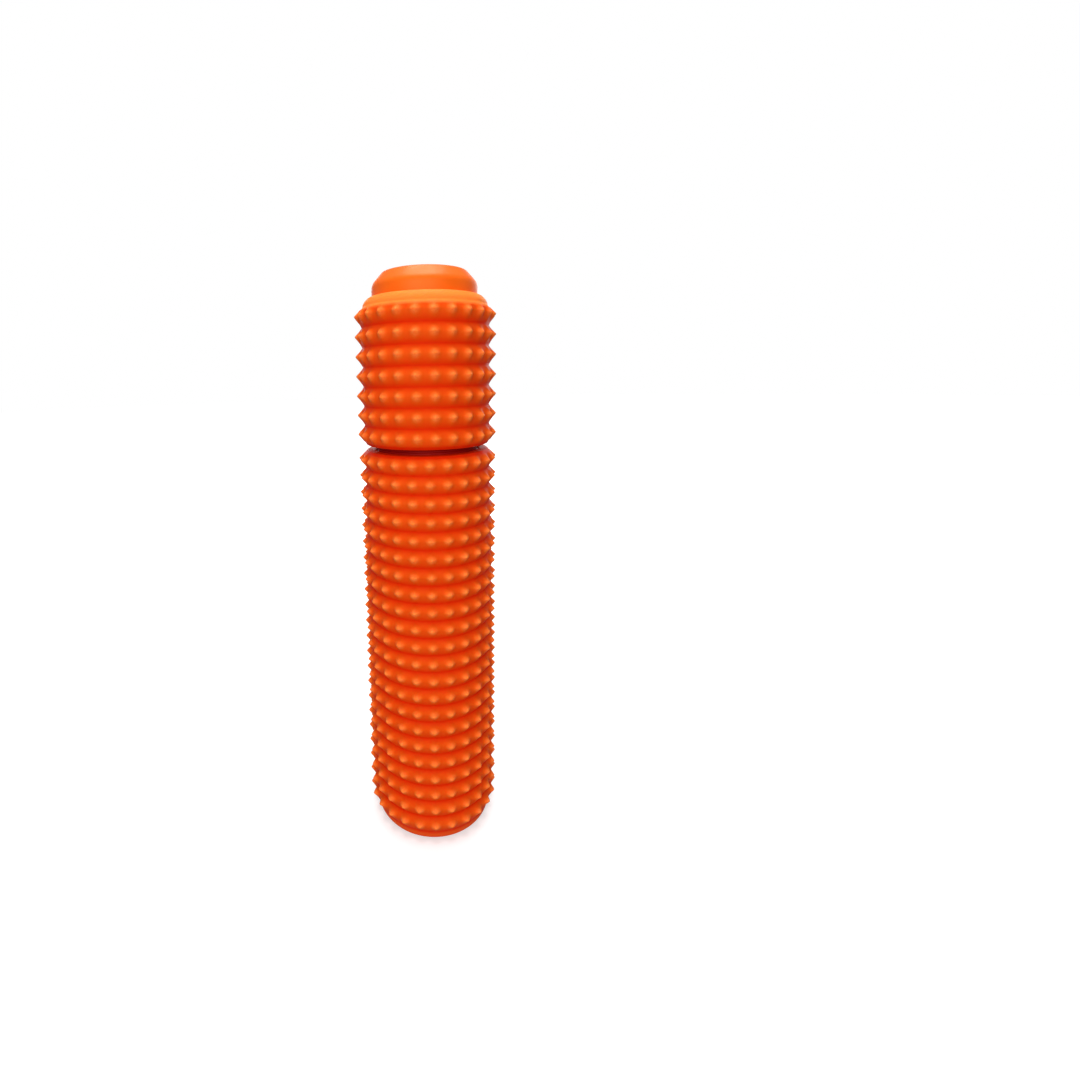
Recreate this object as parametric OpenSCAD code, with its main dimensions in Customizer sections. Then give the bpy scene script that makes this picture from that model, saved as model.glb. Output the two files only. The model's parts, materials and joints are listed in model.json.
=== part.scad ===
/*
  Spiked massage roller: two spiked barrels, a short one above a long one, that turn on one hollow
  core. The core stands on a non-slip pad, and a chamfered plug closes its upper end.
  Millimetres. The origin is at the middle of the base, and +Z runs up the roller's axis.
*/

/* [Spiked skin] */
// Radius at the spike tips
tip_r = 37; // [35:0.5:45]
// How far a spike stands out of the valley floor
spike_h = 3.8; // [3:0.1:4.2]
// Height of the saddle between neighbouring spikes of one ring
saddle_h = 1.2; // [0.8:0.1:2]
// Spikes around one ring
spikes = 25; // [20:1:32]
// Flat floor of the valley between two rings
valley_flat = 1.2; // [0.8:0.1:2]
// How far each tip sits above the middle of its two valleys
tip_lift = 0.4; // [0:0.1:0.8]

/* [Barrels] */
// Rings of spikes on the short upper barrel
upper_rings = 7; // [5:1:10]
// Distance between rings on the upper barrel
upper_pitch = 10.05; // [9.5:0.05:10.5]
// How far the upper barrel's spike columns are turned from the front, in degrees
upper_turn = 6.9; // [0:0.1:14]
// Rings of spikes on the long lower barrel
lower_rings = 22; // [7:1:24]
// Distance between rings on the lower barrel
lower_pitch = 9.34; // [9.2:0.02:10]
// How far the lower barrel's spike columns are turned from the front, in degrees
lower_turn = 1.8; // [0:0.1:14]
// Open gap between the two barrels
barrel_gap = 2.9; // [2:0.1:4]
// Outer radius of the stiff liner under each skin
liner_r = 27.8; // [27.8:0.1:29]
// Wall of the liners
liner_wall = 2.5; // [2:0.1:3]

/* [Core] */
// Outer radius of the core tube, which the barrels turn on
core_r = 20; // [18:0.5:21]
// Wall of the core tube
core_wall = 2.5; // [2:0.1:3]
// Thickness of the non-slip pad under the base
pad_t = 1.5; // [1:0.1:2]
// Length of each bush along the core
bush_l = 8; // [6:0.5:12]

/* [End plug] */
// Radius of the plug's upright side
cap_r = 27.5; // [26:0.1:27.5]
// Radius of the flat on top of the plug
cap_flat_r = 22; // [20:0.5:24]
// Height of the chamfer around the plug
cap_chamfer = 6.3; // [4:0.1:7]
// How deep the plug's stopper reaches into the core
stopper_l = 18; // [14:1:24]

/* [Hidden] */
$fn = 96;

// Fits
play = 0.3;        // between pieces that move past each other
running_fit = 0.05; // radial, between a bush and the core
bond = 0.05;       // between a skin and its liner, and a liner and its bushes

// Skin profile
valley_r = tip_r - spike_h;
saddle_r = valley_r + saddle_h;
blunting = 0.5;    // the rings' edge stands this far past the tips, which leaves each tip blunt
rim_r = valley_r - 0.8;   // plain band at the foot of the lower barrel
rim_edge = 1.2;    // bevel at its lower edge
end_r = valley_r - 1.4;   // barrel ends on both sides of the gap
shoulder_r = tip_r - 7.6; // outer edge of the flat ledge around the plug
shoulder_h = 3;    // the shoulder bends in to that edge over this height
skin_bore_r = liner_r + bond;

// Heights along the axis, from the floor up
floor_clear = 0.8;
lower_z0 = floor_clear;
lower_first = lower_z0 + 10.2;
lower_last = lower_first + (lower_rings - 1) * lower_pitch;
lower_z1 = lower_last + 4.55;
upper_z0 = lower_z1 + barrel_gap;
upper_first = upper_z0 + 5.75;
upper_last = upper_first + (upper_rings - 1) * upper_pitch;
ledge_z = upper_last + 9.3;
cap_top_z = upper_last + 22.0;
recess_z = ledge_z - 2.2;  // where the liner ends, below the ledge
core_top_z = recess_z - play;
cap_z0 = recess_z + play;

// Core pieces
core_bore_r = core_r - core_wall;
flange_t = 4;
flange_r = liner_r - 0.4;
flange_z = pad_t + flange_t;
spigot_l = 15;
washer_t = 1.2;
bush_flange_t = 1.5;
end_inset = 1;     // bush flanges sit this far inside the barrel ends
collar_l = 6;
collar_r = liner_r - liner_wall - play;
collar_z0 = core_top_z - collar_l;
screw_r = 1.5;
screw_head_r = 2.8;
screw_l = 7;
base_screw_z = flange_z + spigot_l - 5;
screw_clear = 0.25; // around a screw's head and shank

// Bush places
lower_bush_z0 = flange_z + washer_t + play;
lower_bush_z1 = lower_z1 - end_inset;
upper_bush_z0 = upper_z0 + end_inset;
upper_bush_z1 = collar_z0 - washer_t - 2 * play;
bush_r = liner_r - liner_wall - bond;

// Plug pieces
stopper_r = core_bore_r - 0.2;
stopper_wall = 2.5;
stopper_z0 = core_top_z - stopper_l;
stopper_z1 = cap_top_z - 5;
seal_z = stopper_z0 + 6;
seal_r = 0.9;      // radius of the seal ring's own section
plug_screw_r = 2;
plug_screw_l = 6;
plug_screw_head_r = 3.8;
plug_screw_head_t = 2.2;

// Half outlines, as [radius, height] points

function ring_teeth(first, pitch, rings) =
    [for (i = [0 : rings - 1], side = [-1, 0, 1])
        let (z = first + i * pitch)
        side == 0 ? [tip_r + blunting, z]
                  : [valley_r, z - tip_lift + side * (pitch - valley_flat) / 2]];

function lower_outline() = concat(
    [[skin_bore_r, lower_z0], [rim_r - rim_edge, lower_z0], [rim_r, lower_z0 + rim_edge]],
    ring_teeth(lower_first, lower_pitch, lower_rings),
    [[end_r, lower_z1], [skin_bore_r, lower_z1]]);

function upper_outline() = concat(
    [[skin_bore_r, upper_z0], [end_r, upper_z0]],
    ring_teeth(upper_first, upper_pitch, upper_rings),
    [[valley_r - 0.8, ledge_z - shoulder_h], [shoulder_r, ledge_z], [skin_bore_r, ledge_z]]);

// Plan outline of the spikes: a star whose points are the tips and whose notches are the saddles
module spike_star(turn) {
    rotate(turn - 90)
        polygon([for (i = [0 : 2 * spikes - 1])
            let (a = i * 180 / spikes, r = i % 2 == 0 ? tip_r : saddle_r)
            [r * cos(a), r * sin(a)]]);
}

// A spiked skin: ring ridges, cut by the star into single spikes
module spiked_skin(outline, turn, z0, z1) {
    intersection() {
        rotate_extrude() polygon(outline);
        translate([0, 0, z0 - 1]) linear_extrude(z1 - z0 + 2) spike_star(turn);
    }
}

module tube(r_out, r_in, z0, z1) {
    rotate_extrude()
        translate([r_in, z0]) square([r_out - r_in, z1 - z0]);
}

// Three radial screw bodies: a shank and a cone head that ends flush with the radius given
module radial_screws(r_out, z, shank, head, len) {
    for (a = [0, 120, 240])
        rotate([0, 90, a]) translate([-z, 0, r_out - len]) {
            cylinder(r = shank, h = len);
            translate([0, 0, len - (head - shank)]) cylinder(r1 = shank, r2 = head, h = head - shank);
        }
}

// A bush pressed into a liner. flange is +1 for a flange at its upper end, -1 at its lower end
module bush(z0, z1, flange) {
    tube(bush_r, core_r + running_fit, z0, z1);
    if (flange != 0) {
        fz = flange > 0 ? z1 - bush_flange_t : z0;
        tube(liner_r - 0.1, core_r + running_fit, fz, fz + bush_flange_t);
    }
}

module core_tube() {
    color("silver") difference() {
        tube(core_r, core_bore_r, flange_z, core_top_z);
        radial_screws(core_r + 0.01, base_screw_z,
                      screw_r + screw_clear, screw_head_r + screw_clear, screw_l);
    }
}

// A moulding that is cored out from below, where the pad covers the hollow
module base_plug() {
    spigot_r = core_bore_r - bond;
    spigot_wall = 5;
    floor_t = 3;
    color("dimgray") difference() {
        rotate_extrude() polygon([
            [spigot_r - spigot_wall, pad_t], [flange_r, pad_t], [flange_r, flange_z],
            [spigot_r, flange_z], [spigot_r, flange_z + spigot_l], [0, flange_z + spigot_l],
            [0, flange_z + spigot_l - floor_t], [spigot_r - spigot_wall, flange_z + spigot_l - floor_t]]);
        radial_screws(core_r, base_screw_z, screw_r + 0.1, screw_r + 0.1, screw_l);
    }
}

module base_pad() {
    color("black") cylinder(r = flange_r - 1, h = pad_t);
}

module base_screws() {
    color("silver") radial_screws(core_r - 0.1, base_screw_z, screw_r, screw_head_r, screw_l - 1.2);
}

module base_washer() {
    color("white") tube(flange_r - 2, core_r + running_fit, flange_z, flange_z + washer_t);
}

module spacer_ring() {
    color("maroon")
        tube(liner_r - 0.8, core_r + running_fit,
             lower_z1 - end_inset + play, upper_z0 + end_inset - play);
}

module top_washer() {
    color("white") tube(collar_r, core_r + running_fit, upper_bush_z1 + play, collar_z0 - play);
}

module retaining_collar() {
    color("dimgray") difference() {
        tube(collar_r, core_r + running_fit, collar_z0, core_top_z);
        radial_screws(collar_r + 0.01, collar_z0 + collar_l / 2, screw_r + 0.1, screw_r + 0.1,
                      collar_r - core_r + 1);
    }
}

// Grub screws that press on the core tube
module collar_screws() {
    head_r = collar_r - 0.4;
    color("silver")
        radial_screws(head_r, collar_z0 + collar_l / 2, screw_r, screw_r, head_r - core_r);
}

module lower_skin() {
    color("orangered") spiked_skin(lower_outline(), lower_turn, lower_z0, lower_z1);
}

module lower_liner() {
    color("gray") tube(liner_r, liner_r - liner_wall,
                       lower_bush_z0 + bush_flange_t, lower_bush_z1 - bush_flange_t);
}

module lower_bush_bottom() {
    color("white") bush(lower_bush_z0, lower_bush_z0 + bush_l, -1);
}

module lower_bush_middle() {
    middle = (lower_bush_z0 + lower_bush_z1) / 2;
    color("white") bush(middle - bush_l / 2, middle + bush_l / 2, 0);
}

module lower_bush_top() {
    color("white") bush(lower_bush_z1 - bush_l, lower_bush_z1, 1);
}

module upper_skin() {
    color("orangered") spiked_skin(upper_outline(), upper_turn, upper_z0, ledge_z);
}

module upper_liner() {
    color("gray") tube(liner_r, liner_r - liner_wall, upper_bush_z0 + bush_flange_t, recess_z);
}

module upper_bush_bottom() {
    color("white") bush(upper_bush_z0, upper_bush_z0 + bush_l, -1);
}

module upper_bush_top() {
    color("white") bush(upper_bush_z1 - bush_l, upper_bush_z1, 0);
}

module end_cap() {
    socket_r = stopper_r + bond;
    color("darkorange") difference() {
        rotate_extrude() polygon([
            [socket_r, cap_z0], [cap_r - 0.5, cap_z0], [cap_r, cap_z0 + 0.5],
            [cap_r, cap_top_z - cap_chamfer], [cap_flat_r, cap_top_z],
            [0, cap_top_z], [0, stopper_z1], [socket_r, stopper_z1]]);
        translate([0, 0, stopper_z1 - 1]) cylinder(r = plug_screw_r + 0.1, h = 4);
    }
}

module plug_stopper() {
    seat_z = seal_z - seal_r - 0.1;
    seat_r = core_bore_r - 2 * seal_r - 2 * bond;
    color("dimgray") difference() {
        rotate_extrude() polygon([
            [stopper_r - stopper_wall, stopper_z0], [stopper_r - 0.8, stopper_z0],
            [stopper_r, stopper_z0 + 0.8],
            [stopper_r, seat_z], [seat_r, seat_z],
            [seat_r, seat_z + 2 * seal_r + 0.2], [stopper_r, seat_z + 2 * seal_r + 0.2],
            [stopper_r, stopper_z1], [0, stopper_z1],
            [0, stopper_z1 - 3], [stopper_r - stopper_wall, stopper_z1 - 3]]);
        translate([0, 0, stopper_z1 - 4]) cylinder(r = plug_screw_r + 0.1, h = 5);
    }
}

module plug_seal() {
    color("black") rotate_extrude()
        translate([core_bore_r - bond - seal_r, seal_z]) circle(r = seal_r, $fn = 32);
}

module plug_screw() {
    head_z = stopper_z1 - 3 - plug_screw_head_t;
    color("silver") {
        translate([0, 0, head_z]) cylinder(r = plug_screw_head_r, h = plug_screw_head_t);
        translate([0, 0, head_z]) cylinder(r = plug_screw_r, h = plug_screw_head_t + plug_screw_l - 0.2);
    }
}

core_tube();
base_plug();
base_pad();
base_screws();
base_washer();
spacer_ring();
top_washer();
retaining_collar();
collar_screws();
lower_skin();
lower_liner();
lower_bush_bottom();
lower_bush_middle();
lower_bush_top();
upper_skin();
upper_liner();
upper_bush_bottom();
upper_bush_top();
end_cap();
plug_stopper();
plug_seal();
plug_screw();
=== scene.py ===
"""Looks of a spiked massage roller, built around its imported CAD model. Metres, +Z up the axis."""
import json
import math

import bpy
import numpy as np
from mathutils import Euler, Matrix, Vector


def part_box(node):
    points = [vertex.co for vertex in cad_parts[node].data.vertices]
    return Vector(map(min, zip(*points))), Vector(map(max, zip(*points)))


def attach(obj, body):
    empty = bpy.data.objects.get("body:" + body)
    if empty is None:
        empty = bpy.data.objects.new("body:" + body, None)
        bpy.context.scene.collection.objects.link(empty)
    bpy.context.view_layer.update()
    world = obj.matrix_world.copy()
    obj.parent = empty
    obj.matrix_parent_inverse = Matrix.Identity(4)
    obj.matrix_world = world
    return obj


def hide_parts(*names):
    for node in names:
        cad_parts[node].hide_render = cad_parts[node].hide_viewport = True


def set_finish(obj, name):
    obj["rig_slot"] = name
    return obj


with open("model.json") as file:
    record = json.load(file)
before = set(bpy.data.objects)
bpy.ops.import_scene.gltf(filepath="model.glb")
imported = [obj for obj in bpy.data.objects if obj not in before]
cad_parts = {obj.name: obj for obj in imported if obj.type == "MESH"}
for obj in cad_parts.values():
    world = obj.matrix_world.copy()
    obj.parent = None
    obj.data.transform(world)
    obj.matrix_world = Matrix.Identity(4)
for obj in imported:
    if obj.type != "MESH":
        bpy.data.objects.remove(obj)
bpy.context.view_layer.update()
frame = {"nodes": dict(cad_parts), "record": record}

MM = 0.001

# ---------------------------------------------------------------- design values, in millimetres

TIP_R = 37.0            # radius at the spike tips
SPIKE_H = 3.8           # height of a spike above the valley floor
RIDGE = 0.38            # height of the ridge between two spikes of a ring, as a share of SPIKE_H
SPIKE_WIDTH = 0.72      # width of a spike's foot, as a share of the spacing
SPIKES = 25             # spikes around one ring
TIP_LIFT = 0.4          # how far a tip sits above the middle of its two valleys
FLANK_POWER = 1.9       # 1 gives straight flanks, more gives hollow ones
RIDGE_POWER = 1.7       # 1 gives a sharp ridge, more gives a rounder one
TOP_POWER = 1.5         # the same for a spike's top, seen across
FOOT_POWER = 1.3        # and for its foot: above 1 it runs out softly into the ridge
TIP_SOFTNESS = 0.07     # share of a spike's half width that is rounded off at its tip
VALLEY_R = TIP_R - SPIKE_H

COLUMNS_PER_SPIKE = 12  # mesh columns across one spike
ROWS_PER_FLANK = 7      # mesh rows from a tip to its valley
CROWDING = 1.25         # above 1, those columns and rows crowd towards the tip
SEGMENTS = 128          # around a plain turned piece

LOWER = {"rings": 22, "pitch": 9.34, "first": 10.2, "turn": 1.8}
UPPER = {"rings": 7, "pitch": 10.05, "first": 5.75, "turn": 6.9}
END_R = VALLEY_R - 1.4  # barrel ends on both sides of the gap
END_ROUNDING = 1.4
RIM_R = VALLEY_R - 0.8  # plain band at the foot of the lower barrel
RIM_ROUNDING = 1.6
BAND_H = 5.1            # height of that band
SHOULDER_R = TIP_R - 7.6            # outer edge of the ledge around the plug
SHOULDER_ROUNDING = 0.5
SHOULDER_FOOT_R = VALLEY_R - 0.6
SHOULDER_H = 5.2        # height of the smooth shoulder above the top ring
SHOULDER_POWER = 2.2    # more makes the shoulder bend in later and more sharply
SHOULDER_SPREAD = 1.5   # how steeply the skin widens below the shoulder, radius over height
CAP_FLAT_R = 22.0       # flat on top of the plug
CAP_CHAMFER = 6.3       # height of the chamfer around it


def size_mm(node):
    """Lowest and highest height and the largest radius of a CAD node, in millimetres."""
    low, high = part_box(node)
    return low.z / MM, high.z / MM, high.x / MM


# ---------------------------------------------------------------- mesh helpers

def mesh_object(name, points, faces, body, slot, *nodes):
    """A smooth-shaded piece, in millimetres, that rides on body and stands for the CAD nodes."""
    mesh = bpy.data.meshes.new(name)
    mesh.from_pydata((np.asarray(points) * MM).tolist(), [], faces)
    mesh.validate()
    mesh.shade_smooth()
    piece = bpy.data.objects.new(name, mesh)
    bpy.context.scene.collection.objects.link(piece)
    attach(piece, body)
    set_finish(piece, slot)
    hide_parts(*nodes)
    return piece


def grid_faces(rows, columns, closed):
    """Quads of a grid whose columns run round the axis. A closed grid's last row meets its first."""
    last = rows if closed else rows - 1
    return [(r * columns + c, r * columns + (c + 1) % columns,
             (r + 1) % rows * columns + (c + 1) % columns, (r + 1) % rows * columns + c)
            for r in range(last) for c in range(columns)]


def rounded(corners, steps=5):
    """A half outline with its corners rounded. Each corner is (radius, height, rounding)."""
    outline = []
    count = len(corners)
    for i, (x, z, rounding) in enumerate(corners):
        here = np.array((x, z))
        if rounding == 0:
            outline.append(here)
            continue
        before = np.array(corners[i - 1][:2]) - here
        after = np.array(corners[(i + 1) % count][:2]) - here
        start = here + before / np.linalg.norm(before) * rounding
        end = here + after / np.linalg.norm(after) * rounding
        for t in np.linspace(0, 1, steps):
            outline.append((1 - t) ** 2 * start + 2 * t * (1 - t) * here + t ** 2 * end)
    return outline


def turned(name, corners, body, slot, *nodes):
    """A turned piece. An outline that starts and ends on the axis is solid, any other is a ring."""
    outline = rounded(corners)
    solid = outline[0][0] == 0
    rings = outline[1:-1] if solid else outline
    angles = np.arange(SEGMENTS) * 2 * math.pi / SEGMENTS
    points = [(r * math.cos(a), r * math.sin(a), z) for r, z in rings for a in angles]
    faces = grid_faces(len(rings), SEGMENTS, closed=not solid)
    if solid:
        first, last = len(points), len(points) + 1
        points += [(0, 0, outline[0][1]), (0, 0, outline[-1][1])]
        top = (len(rings) - 1) * SEGMENTS
        for c in range(SEGMENTS):
            n = (c + 1) % SEGMENTS
            faces.append((first, n, c))
            faces.append((last, top + c, top + n))
    piece = mesh_object(name, points, faces, body, slot, *nodes)
    mark_sharp(piece)
    return piece


def mark_sharp(piece, degrees=32):
    """Keeps the shading of flat faces flat where they meet at more than this angle."""
    piece.data.set_sharp_from_angle(angle=math.radians(degrees))


# ---------------------------------------------------------------- spiked skins

def flank(t):
    """Height of a spike at t of the way from its tip to its foot, from 1 to 0."""
    soft = np.sqrt(t * t + TIP_SOFTNESS ** 2) - TIP_SOFTNESS
    soft = soft / (math.sqrt(1 + TIP_SOFTNESS ** 2) - TIP_SOFTNESS)
    return (1 - np.clip(soft, 0, 1)) ** FLANK_POWER


def spike_height(u, v):
    """Height over the valley floor at u across and v along, both 0 at the tip and 1 at the foot."""
    ridge = 1 - np.abs(v) ** RIDGE_POWER
    thumb = (1 - np.minimum(np.abs(u) / SPIKE_WIDTH, 1) ** TOP_POWER) ** FOOT_POWER
    return SPIKE_H * (RIDGE * ridge + (1 - RIDGE) * flank(np.abs(v)) * thumb)


def quarter_round(distance, rounding):
    """How far a rounded edge stands back from the side, at a distance from the barrel's end."""
    d = np.clip(rounding - distance, 0, rounding)
    return rounding - np.sqrt(rounding ** 2 - d ** 2)


def spread(count):
    """Numbers from -1 up to, and without, 1, closer together around 0."""
    t = np.arange(count) / count * 2 - 1
    return np.sign(t) * np.abs(t) ** CROWDING


def ring_rows(z0, barrel):
    """Heights of the mesh rows over the rings, with each row's place on its spike."""
    above = barrel["pitch"] / 2 - TIP_LIFT
    below = barrel["pitch"] / 2 + TIP_LIFT
    rows = []
    for i in range(barrel["rings"]):
        tip = z0 + barrel["first"] + i * barrel["pitch"]
        for v in spread(2 * ROWS_PER_FLANK):
            rows.append((tip + v * (above if v > 0 else below), v))
    rows.append((tip + above, 1.0))
    return rows


def crowded(near, far, count, power):
    """Heights from near up to, and without, far, closer together around near."""
    return [near + (far - near) * t ** power for t in np.linspace(0, 1, count + 1)[:-1]]


def skin(name, node, body, barrel, foot, head):
    """A spiked skin. foot and head describe its ends, below and above the rings."""
    z0, z1, _ = size_mm(node)
    bore = size_mm(node.replace("skin", "liner"))[2] + 0.05
    rows = [(z, v) for z, v in ring_rows(z0, barrel) if z0 <= z <= z1]
    low_rows = [(z, 1.0) for z in crowded(z0, rows[0][0], foot["rows"], foot["crowding"])]
    high_rows = [(z, 1.0) for z in crowded(z1, rows[-1][0], head["rows"], head["crowding"])]
    rows = low_rows + rows + high_rows[::-1]
    across = np.tile(spread(COLUMNS_PER_SPIKE), SPIKES)
    middles = np.repeat(np.arange(SPIKES), COLUMNS_PER_SPIKE)
    spacing = 2 * math.pi / SPIKES
    angles = math.radians(barrel["turn"] - 90) + (middles + across / 2) * spacing
    points = []
    for z, v in rows:
        side = np.full(len(angles), VALLEY_R) + spike_height(across, v)
        limit = min(foot["limit"](z - z0), head["limit"](z1 - z))
        radius = np.minimum(side, limit)
        points.append(np.stack([radius * np.cos(angles), radius * np.sin(angles),
                                np.full(len(angles), z)], axis=1))
    for z in (z1, z0):
        points.append(np.stack([bore * np.cos(angles), bore * np.sin(angles),
                                np.full(len(angles), z)], axis=1))
    faces = grid_faces(len(points), len(angles), closed=True)
    piece = mesh_object(name, np.concatenate(points), faces, body, "spiked_rubber", node)
    mark_sharp(piece, 60)
    return piece


def end_limit(distance):
    """The largest radius near a barrel's end at the gap, which is a quarter round."""
    if distance >= END_ROUNDING:
        return math.inf
    return END_R + END_ROUNDING - float(quarter_round(distance, END_ROUNDING))


def band_limit(distance):
    """The foot of the lower barrel: a plain band that widens a little up to the first valley."""
    if distance >= BAND_H:
        return math.inf
    widening = distance / BAND_H * (VALLEY_R - RIM_R)
    return RIM_R + widening - float(quarter_round(distance, RIM_ROUNDING))


def shoulder_limit(distance):
    """The smooth shoulder that slopes in to the ledge around the plug."""
    if distance >= SHOULDER_H:
        return SHOULDER_FOOT_R + SHOULDER_SPREAD * (distance - SHOULDER_H)
    rise = 1 - distance / SHOULDER_H
    edge = float(quarter_round(distance, SHOULDER_ROUNDING))
    return SHOULDER_R + (SHOULDER_FOOT_R - SHOULDER_R) * (1 - rise ** SHOULDER_POWER) - edge


BAND = {"limit": band_limit, "rows": 14, "crowding": 2}
END = {"limit": end_limit, "rows": 6, "crowding": 2}
SHOULDER = {"limit": shoulder_limit, "rows": 16, "crowding": 1.4}


# ---------------------------------------------------------------- turned pieces

def end_cap():
    """The chamfered plug, hollow below for its stopper."""
    z0, z1, r = size_mm("end_cap")
    socket = size_mm("plug_stopper")[2] + 0.05
    roof = size_mm("plug_stopper")[1]
    return turned("end_cap_look", [
        (0, roof, 0), (socket, roof, 0.3), (socket, z0, 0.4), (r, z0, 0.6),
        (r, z1 - CAP_CHAMFER, 2.0), (CAP_FLAT_R, z1, 1.0), (0, z1, 0)],
        "plug", "cap_plastic", "end_cap")


def spacer_ring():
    """The ring in the gap, with a shallow groove around it. Its dark red colour is painted shade of the
    gap.
    """
    z0, z1, r = size_mm("spacer_ring")
    bore = size_mm("core_tube")[2] + 0.05
    groove_low = (z0 + z1) / 2 - 0.5
    groove_high = (z0 + z1) / 2 + 0.5
    groove_r = r - 0.6
    bevel = 0.3
    return turned("spacer_ring_look", [
        (bore, z0, 0.2), (r, z0, 0.4), (r, groove_low - bevel, 0.2), (groove_r, groove_low, 0.2),
        (groove_r, groove_high, 0.2), (r, groove_high + bevel, 0.2), (r, z1, 0.4), (bore, z1, 0.2)],
        "core", "spacer_plastic", "spacer_ring")


def base_pad():
    """The non-slip pad, with ring grooves in its underside."""
    z0, z1, r = size_mm("base_pad")
    bands = 6
    half_width = 0.4
    bevel = 0.3
    depth = 0.5
    outline = [(0, z0, 0)]
    for band in range(1, bands):
        inner = r * band / bands - half_width
        outer = r * band / bands + half_width
        outline += [(inner - bevel, z0, 0.2), (inner, z0 + depth, 0.1),
                    (outer, z0 + depth, 0.1), (outer + bevel, z0, 0.2)]
    outline += [(r, z0, 0.5), (r, z1, 0.2), (0, z1, 0)]
    return turned("base_pad_look", outline, "core", "pad_rubber", "base_pad")


# ---------------------------------------------------------------- materials

class Nodes:
    """Short calls for building a node tree."""

    def __init__(self, name):
        self.material = bpy.data.materials.new(name)
        self.material.use_nodes = True
        self.tree = self.material.node_tree
        self.shader = self.tree.nodes["Principled BSDF"]
        self.place = self.tree.nodes.new("ShaderNodeTexCoord").outputs["Object"]

    def link(self, a, b):
        self.tree.links.new(a, b)

    def noise(self, scale, detail=3.0, roughness=0.55, vector=None):
        node = self.tree.nodes.new("ShaderNodeTexNoise")
        node.inputs["Scale"].default_value = scale
        node.inputs["Detail"].default_value = detail
        node.inputs["Roughness"].default_value = roughness
        self.link(vector or self.place, node.inputs["Vector"])
        return node.outputs["Fac"]

    def stretched(self, x, y, z):
        """The place, scaled along each axis, for grain that runs one way."""
        node = self.tree.nodes.new("ShaderNodeMapping")
        node.inputs["Scale"].default_value = (x, y, z)
        self.link(self.place, node.inputs["Vector"])
        return node.outputs["Vector"]

    def remap(self, value, low, high, to_low, to_high):
        node = self.tree.nodes.new("ShaderNodeMapRange")
        for key, number in zip(("From Min", "From Max", "To Min", "To Max"),
                               (low, high, to_low, to_high)):
            node.inputs[key].default_value = number
        self.link(value, node.inputs["Value"])
        return node.outputs["Result"]

    def math(self, operation, a, b):
        node = self.tree.nodes.new("ShaderNodeMath")
        node.operation = operation
        for socket, value in zip(node.inputs, (a, b)):
            if isinstance(value, (int, float)):
                socket.default_value = value
            else:
                self.link(value, socket)
        return node.outputs["Value"]

    def axis_distance(self):
        """Distance from the roller's axis, in metres."""
        node = self.tree.nodes.new("ShaderNodeVectorMath")
        node.operation = "LENGTH"
        self.link(self.stretched(1, 1, 0), node.inputs[0])
        return node.outputs["Value"]

    def axis_height(self):
        """Height along the roller's axis, in metres."""
        node = self.tree.nodes.new("ShaderNodeSeparateXYZ")
        self.link(self.place, node.inputs["Vector"])
        return node.outputs["Z"]

    def mix(self, share, a, b):
        """A colour between a and b. Each is a colour or a socket."""
        node = self.tree.nodes.new("ShaderNodeMix")
        node.data_type = "RGBA"
        for socket, value in ((node.inputs[0], share), (node.inputs[6], a), (node.inputs[7], b)):
            if isinstance(value, tuple):
                socket.default_value = (*value, 1)
            elif isinstance(value, float):
                socket.default_value = value
            else:
                self.link(value, socket)
        return node.outputs[2]

    def colour(self, socket):
        self.link(socket, self.shader.inputs["Base Color"])

    def roughness(self, socket, low, high):
        self.link(self.remap(socket, 0.3, 0.7, low, high), self.shader.inputs["Roughness"])

    def bump(self, height, distance, strength=1.0):
        node = self.tree.nodes.new("ShaderNodeBump")
        node.inputs["Strength"].default_value = strength
        node.inputs["Distance"].default_value = distance
        self.link(height, node.inputs["Height"])
        self.link(node.outputs["Normal"], self.shader.inputs["Normal"])

    def set(self, **values):
        for key, value in values.items():
            self.shader.inputs[key.replace("_", " ")].default_value = value


def spiked_rubber():
    """Soft orange elastomer, with painted shade deepening the valleys and the ends at the gap, painted
    light paling the shoulder, and a painted highlight on the tips.
    """
    m = Nodes("spiked_rubber")
    radius = m.axis_distance()
    height = m.remap(radius, VALLEY_R * MM, TIP_R * MM, 0, 1)
    drift = m.remap(m.noise(18, 2), 0.35, 0.65, 0, 1)
    skin_colour = m.mix(drift, (0.77, 0.083, 0.0045), (0.81, 0.092, 0.0055))
    # Painted shade: below about half the spike height the colour turns a deeper red, down into the
    # valleys and on the ends at the gap.
    skin_colour = m.mix(m.remap(height, 0.0, 0.45, 1, 0), skin_colour, (0.70, 0.019, 0.0004))
    # Painted light: the shoulder gets a pale colour, as if lit from above; the foot band gets a little
    # of it over the valleys' painted shade.
    shoulder_foot = size_mm("upper_skin")[1] - SHOULDER_H
    band_top = size_mm("lower_skin")[0] + BAND_H
    up = m.axis_height()
    smooth = m.math("MAXIMUM", m.remap(up, (band_top - 2) * MM, band_top * MM, 0.3, 0),
                    m.remap(up, (shoulder_foot - 2) * MM, shoulder_foot * MM, 0, 1))
    skin_colour = m.mix(smooth, skin_colour, (0.93, 0.21, 0.030))
    # Painted highlight: the upper part of each spike gets a paler colour, mottled by noise.
    tip_highlight = m.math("MULTIPLY", m.remap(height, 0.42, 0.85, 0, 1),
                   m.remap(m.noise(900, 4), 0.42, 0.62, 0.7, 1.0))
    skin_colour = m.mix(tip_highlight, skin_colour, (0.97, 0.215, 0.042))
    m.colour(skin_colour)
    m.roughness(m.noise(260, 4), 0.42, 0.56)
    grain = m.math("ADD", m.noise(2600, 3), m.math("MULTIPLY", m.noise(420, 2), 0.6))
    m.bump(grain, 0.00003, 0.6)
    m.set(Subsurface_Weight=0.30, Subsurface_Scale=0.0015, IOR=1.45, Specular_IOR_Level=0.05,
          Specular_Tint=(1.0, 0.70, 0.35, 1))
    m.shader.inputs["Subsurface Radius"].default_value = (1.0, 0.20, 0.05)
    return m.material


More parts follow.
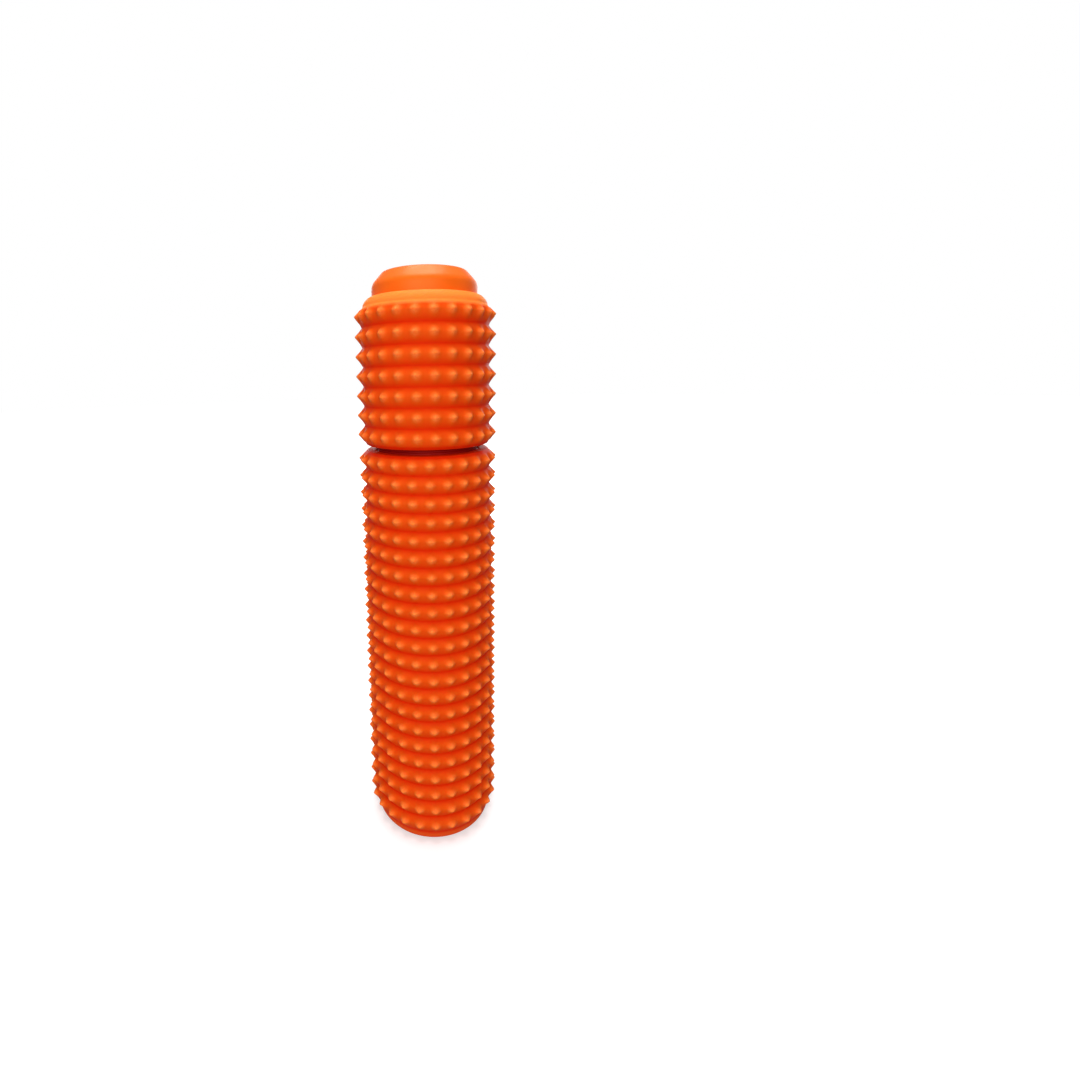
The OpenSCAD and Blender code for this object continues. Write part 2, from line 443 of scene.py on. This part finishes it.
def cap_plastic():
    """Satin orange plastic of the plug."""
    m = Nodes("cap_plastic")
    drift = m.remap(m.noise(30, 3), 0.35, 0.65, 0, 1)
    m.colour(m.mix(drift, (0.84, 0.120, 0.003), (0.88, 0.134, 0.004)))
    m.roughness(m.noise(180, 4), 0.36, 0.50)
    m.bump(m.noise(3000, 3), 0.00002, 0.5)
    m.set(Subsurface_Weight=0.10, Subsurface_Scale=0.0010, IOR=1.46, Specular_IOR_Level=0.36,
          Specular_Tint=(1.0, 0.70, 0.35, 1))
    m.shader.inputs["Subsurface Radius"].default_value = (1.0, 0.20, 0.05)
    return m.material


def moulded(name, dark, light, low, high, grain=2200, gloss=0.5):
    """A moulded plastic or rubber with a fine grain and a slow drift of colour."""
    m = Nodes(name)
    drift = m.remap(m.noise(60, 4), 0.35, 0.65, 0, 1)
    m.colour(m.mix(drift, dark, light))
    m.roughness(m.noise(300, 4), low, high)
    m.bump(m.noise(grain, 3), 0.00003, 0.6)
    m.set(IOR=1.46, Specular_IOR_Level=gloss)
    return m.material


def metal(name, dark, light, low, high, drawn):
    """A metal with fine lines around it or, when drawn, along it."""
    m = Nodes(name)
    lines = m.noise(1.0, 4, vector=m.stretched(2600, 2600, 90) if drawn else
                    m.stretched(500, 500, 4000))
    drift = m.remap(m.noise(70, 3), 0.35, 0.65, 0, 1)
    m.colour(m.mix(drift, dark, light))
    m.roughness(lines, low, high)
    m.bump(lines, 0.00001, 0.5)
    m.set(Metallic=1.0)
    return m.material


def pale_floor():
    """A plain, pale studio floor, which glows white far from the roller and so has no horizon."""
    m = Nodes("pale_floor")
    m.colour(m.mix(m.noise(3, 2), (0.60, 0.60, 0.60), (0.63, 0.63, 0.63)))
    m.roughness(m.noise(40, 3), 0.7, 0.85)
    m.bump(m.noise(900, 2), 0.00005, 0.2)
    m.set(Emission_Color=(1, 1, 1, 1), Specular_IOR_Level=0.1)
    glow = m.remap(m.axis_distance(), 0.10, 1.0, 0.45, 1.0)
    m.link(glow, m.shader.inputs["Emission Strength"])
    return m.material


MATERIALS = {
    "spiked_rubber": spiked_rubber(),
    "cap_plastic": cap_plastic(),
    # Painted shade: the spacer's dark red stands for the deep shade in the gap.
    "spacer_plastic": moulded("spacer_plastic", (0.24, 0.001, 0.0005), (0.28, 0.002, 0.001), 0.5, 0.65,
                              gloss=0.1),
    "liner_plastic": moulded("liner_plastic", (0.16, 0.010, 0.006), (0.20, 0.014, 0.008), 0.5, 0.65),
    "dark_plastic": moulded("dark_plastic", (0.035, 0.035, 0.038), (0.050, 0.050, 0.054), 0.42, 0.6),
    "bearing_plastic": moulded("bearing_plastic", (0.72, 0.70, 0.64), (0.79, 0.77, 0.71), 0.3, 0.45),
    "core_alloy": metal("core_alloy", (0.58, 0.59, 0.61), (0.66, 0.67, 0.69), 0.28, 0.42, drawn=True),
    "screw_steel": metal("screw_steel", (0.50, 0.50, 0.52), (0.60, 0.60, 0.61), 0.25, 0.4, drawn=False),
    "pad_rubber": moulded("pad_rubber", (0.018, 0.018, 0.018), (0.030, 0.030, 0.030), 0.65, 0.85, 1500),
}


def paint(thing, slot):
    thing.data.materials.clear()
    thing.data.materials.append(MATERIALS[slot])


# ---------------------------------------------------------------- camera, light and floor

def camera():
    """The photograph's view: close up, from above the middle, looking a little down."""
    distance = 274.2 * MM
    height = 249.5 * MM
    pitch = math.radians(8.84)
    yaw = math.radians(1.37)
    roll = 0.0220
    data = bpy.data.cameras.new("camera")
    data.sensor_width = 36
    data.lens = 16.93
    data.shift_x = 0.1154
    data.shift_y = -0.0774
    data.clip_start = 0.01
    view = bpy.data.objects.new("camera", data)
    turn = Euler((math.pi / 2 - pitch, 0, yaw)).to_matrix() @ Matrix.Rotation(-roll, 3, "Z")
    view.matrix_world = Matrix.Translation((0, -distance, height)) @ turn.to_4x4()
    bpy.context.scene.collection.objects.link(view)
    bpy.context.scene.camera = view


def soft_box(name, place, aim, width, depth, watts, shine=1.0):
    """A flat light that faces aim. shine is its share in the glossy highlights."""
    data = bpy.data.lights.new(name, "AREA")
    data.shape = "RECTANGLE"
    data.size = width
    data.size_y = depth
    data.energy = watts
    data.specular_factor = shine
    light = bpy.data.objects.new(name, data)
    light.location = place
    light.rotation_euler = (Vector(aim) - Vector(place)).to_track_quat("-Z", "Y").to_euler()
    bpy.context.scene.collection.objects.link(light)


def pale_room(light):
    """A white background whose light on the roller is weaker than it looks."""
    world = bpy.data.worlds.new("pale_room")
    world.use_nodes = True
    tree = world.node_tree
    shown = tree.nodes.new("ShaderNodeLightPath").outputs["Is Camera Ray"]
    strength = tree.nodes.new("ShaderNodeMapRange")
    strength.inputs["To Min"].default_value = light
    tree.links.new(shown, strength.inputs["Value"])
    tree.links.new(strength.outputs["Result"], tree.nodes["Background"].inputs["Strength"])
    tree.nodes["Background"].inputs["Color"].default_value = (1, 1, 1, 1)
    bpy.context.scene.world = world


def studio():
    """A soft light overhead, weaker ones in front and behind, a pale room and a pale floor."""
    middle = (0, 0, 0.16)
    soft_box("overhead", (0, 0.0, 1.36), middle, 0.7, 0.7, 15)
    soft_box("front", (-0.12, -1.05, 0.45), middle, 1.4, 0.6, 11, shine=0.3)
    soft_box("back", (0.12, 1.05, 0.45), middle, 1.4, 0.6, 8, shine=0.3)
    pale_room(0.30)
    bpy.context.scene.view_settings.view_transform = "Standard"
    bpy.ops.mesh.primitive_circle_add(vertices=96, radius=6, fill_type="NGON")
    floor = bpy.context.object
    floor.name = "floor"
    floor.data.materials.append(pale_floor())
    floor.visible_diffuse = False
    floor.visible_glossy = False


# ---------------------------------------------------------------- the whole roller

camera()
studio()

pieces = [
    skin("lower_skin_look", "lower_skin", "lower_barrel", LOWER, foot=BAND, head=END),
    skin("upper_skin_look", "upper_skin", "upper_barrel", UPPER, foot=END, head=SHOULDER),
    end_cap(),
    spacer_ring(),
    base_pad(),
]
for piece in pieces:
    paint(piece, piece["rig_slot"])

slots = {part["node"]: part["material_slot"] for part in frame["record"]["subparts"]}
for node, thing in frame["nodes"].items():
    paint(thing, slots[node])
